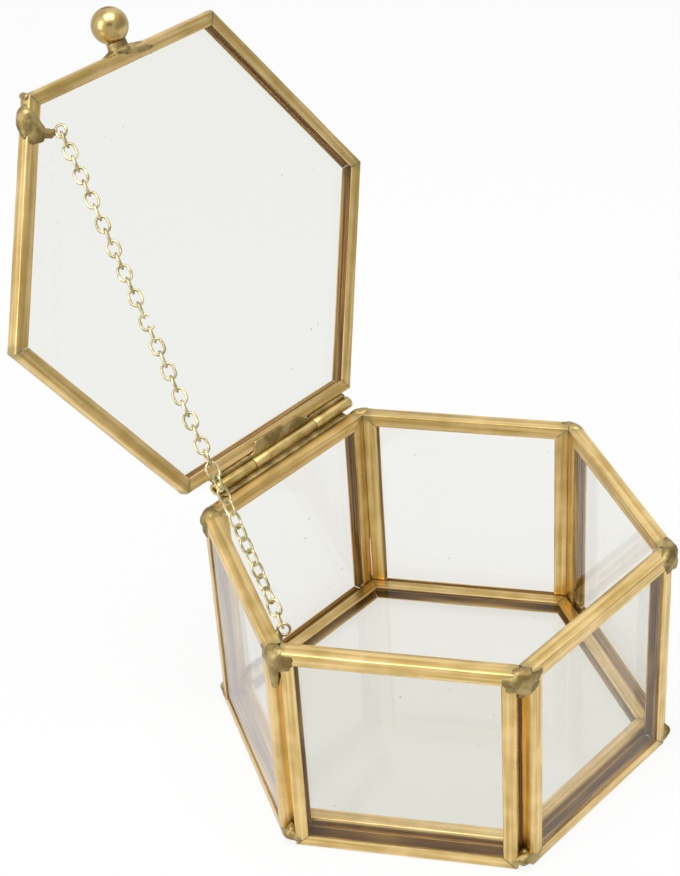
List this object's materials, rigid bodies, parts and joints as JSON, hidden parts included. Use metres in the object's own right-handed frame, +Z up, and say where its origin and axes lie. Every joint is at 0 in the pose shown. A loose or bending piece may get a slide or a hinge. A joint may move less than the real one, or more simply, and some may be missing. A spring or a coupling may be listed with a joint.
{
  "type": "hexagonal glass keepsake box",
  "caption": "Hexagonal glass keepsake box with a hinged lid, brass channel edges soldered at the corners, a ball knob and a fine chain that stops the lid.",
  "frame": {"origin": "middle of the underside of the part's bounding box, lid open, on the surface that the box stands on; the hexagonal base's own centre is 21.844 mm from it, towards -Y", "axes": "+Z up, +Y towards the hinge, -Y towards the side under the knob; stored with the lid open on its chain"},
  "size_m": [0.1052, 0.133, 0.1491],
  "materials": {
    "glass": "clear, about 2.8 mm thick, lightly scratched",
    "brass_channel": "bright yellow brass sheet with warm brown tarnish in the folds",
    "brass_tube": "satin brass",
    "solder": "dull olive, uneven",
    "chain_brass": "bright wire",
    "polished_brass": "polished ball"
  },
  "bodies": {
    "body": {"wall_pane_front": "glass", "wall_pane_front_right": "glass", "wall_pane_back_right": "glass", "wall_pane_back": "glass", "wall_pane_back_left": "glass", "wall_pane_front_left": "glass", "wall_frame_front": "brass_channel", "wall_frame_front_right": "brass_channel", "wall_frame_back_right": "brass_channel", "wall_frame_back": "brass_channel", "wall_frame_back_left": "brass_channel", "wall_frame_front_left": "brass_channel", "base_pane": "glass", "base_frame": "brass_channel", "corner_solder_right": "solder", "corner_solder_back_right": "solder", "corner_solder_back_left": "solder", "corner_solder_left": "solder", "corner_solder_front_left": "solder", "corner_solder_front_right": "solder", "hinge_knuckle_left": "brass_tube", "hinge_knuckle_right": "brass_tube", "hinge_pin": "brass_tube", "hinge_solder_body": "solder", "chain_ring_body": "chain_brass", "chain_solder_body": "solder"},
    "lid": {"lid_pane": "glass", "lid_frame": "brass_channel", "lid_corner_solder": "solder", "hinge_knuckle_lid": "brass_tube", "hinge_solder_lid": "solder", "knob_ball": "polished_brass", "knob_neck": "solder", "chain_ring_lid": "chain_brass", "chain_solder_lid": "solder"},
    "chain_lower": {"chain_lower_run": "chain_brass"},
    "chain_upper": {"chain_upper_run": "chain_brass"}
  },
  "joints": [
    {"name": "lid_hinge", "type": "hinge", "parent": "body", "child": "lid", "pos_m": [0.0024, 0.02396, 0.05372], "axis": [1, 0, 0], "range_deg": [0, 112]},
    {"name": "chain_lower_swing", "type": "hinge", "parent": "body", "child": "chain_lower", "pos_m": [-0.04305, -0.01879, 0.0517], "axis": [0.7824, 0.5649, -0.2621], "range_deg": [0, 150]},
    {"name": "chain_upper_swing", "type": "hinge", "parent": "lid", "child": "chain_upper", "pos_m": [-0.0234, 0.05396, 0.13257], "axis": [-0.817, -0.3157, 0.4825], "range_deg": [0, 75]}
  ],
  "couplings": [
    {"joint": "chain_lower_swing", "follows": "lid_hinge", "ratio": 1.33},
    {"joint": "chain_upper_swing", "follows": "lid_hinge", "ratio": 0.66}
  ]
}
